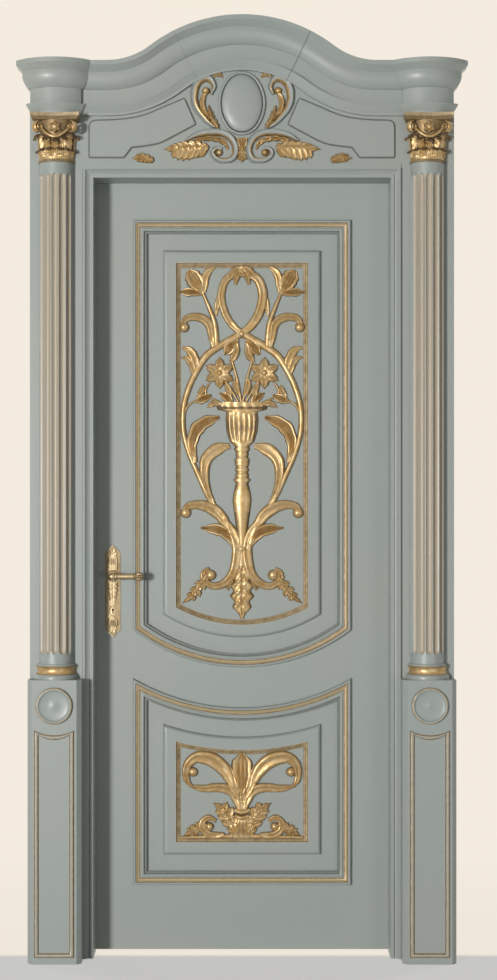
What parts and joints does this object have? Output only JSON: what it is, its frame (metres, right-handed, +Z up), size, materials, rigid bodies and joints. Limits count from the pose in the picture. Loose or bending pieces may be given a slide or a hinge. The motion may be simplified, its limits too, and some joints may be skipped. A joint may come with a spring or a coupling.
{
  "type": "carved interior door set with frame",
  "caption": "Lacquered and gilded panelled door leaf hung in a classical surround with fluted half-columns, pedestals and an arched cornice; opens away from the front on a lever latch",
  "frame": {"origin": "on the floor, in the middle of the doorway, in the plane of the wall's face that the surround stands against", "axes": "+Z up, +X to the right of someone facing the carved front, -Y towards that person; the leaf opens towards +Y"},
  "size_m": [1.205, 0.278, 2.526],
  "materials": {
    "lacquered_wood": "grey-blue satin lacquer over timber",
    "gilded_wood": "carved timber with antique gold leaf",
    "brass": "satin antique brass",
    "steel": "brushed",
    "seal_rubber": "matt"
  },
  "bodies": {
    "frame": {"jamb_hinge_side": "lacquered_wood", "jamb_lock_side": "lacquered_wood", "head_jamb": "lacquered_wood", "rebate_seals": "seal_rubber", "strike_plate": "steel", "casing_right": "lacquered_wood", "casing_left": "lacquered_wood", "casing_head": "lacquered_wood", "rear_casing_right": "lacquered_wood", "rear_casing_left": "lacquered_wood", "rear_casing_head": "lacquered_wood", "pedestal_right": "lacquered_wood", "pedestal_left": "lacquered_wood", "column_shaft_right": "lacquered_wood", "column_shaft_left": "lacquered_wood", "back_board_right": "lacquered_wood", "back_board_left": "lacquered_wood", "pedestal_panel_frames": "gilded_wood", "pedestal_rosettes": "lacquered_wood", "column_bases": "lacquered_wood", "capitals": "gilded_wood", "cornice_crown": "lacquered_wood", "cornice_wing_right": "lacquered_wood", "cornice_wing_left": "lacquered_wood", "frieze_board": "lacquered_wood", "frieze_fields": "lacquered_wood", "boss_ring": "gilded_wood", "oval_boss": "lacquered_wood", "frieze_scrollwork": "gilded_wood", "hinge_frame_halves": "brass", "hinge_pins": "brass"},
    "leaf": {"hinge_stile": "lacquered_wood", "lock_stile": "lacquered_wood", "bottom_rail": "lacquered_wood", "top_rail": "lacquered_wood", "lock_rail": "lacquered_wood", "upper_panel": "lacquered_wood", "lower_panel": "lacquered_wood", "upper_moulding": "lacquered_wood", "upper_moulding_rear": "lacquered_wood", "lower_moulding": "lacquered_wood", "lower_moulding_rear": "lacquered_wood", "upper_carving": "gilded_wood", "lower_carving": "gilded_wood", "front_backplate": "brass", "rear_backplate": "brass", "lock_case": "steel", "hinge_leaf_halves": "brass"},
    "lever_set": {"front_lever": "brass", "rear_lever": "brass", "spindle": "steel", "lock_follower": "steel"},
    "latch_bolt": {"latch_bolt": "steel"},
    "deadbolt": {"deadbolt": "steel"}
  },
  "joints": [
    {"name": "leaf_swing", "type": "hinge", "parent": "frame", "child": "leaf", "pos_m": [0.4105, 0.1265, 1.057], "axis": [0, 0, -1], "range_deg": [0, 110]},
    {"name": "lever_turn", "type": "hinge", "parent": "leaf", "child": "lever_set", "pos_m": [-0.353, 0.0975, 1.026], "axis": [0, 1, 0], "range_deg": [0, 40], "stiffness_Nm_per_rad": 1, "springref_deg": -17.19},
    {"name": "latch_slide", "type": "slide", "parent": "leaf", "child": "latch_bolt", "axis": [1, 0, 0], "range_m": [0, 0.0115]},
    {"name": "deadbolt_slide", "type": "slide", "parent": "leaf", "child": "deadbolt", "axis": [-1, 0, 0], "range_m": [0, 0.02]}
  ],
  "couplings": [
    {"joint": "latch_slide", "follows": "lever_turn", "m_per_rad": 0.01576}
  ]
}
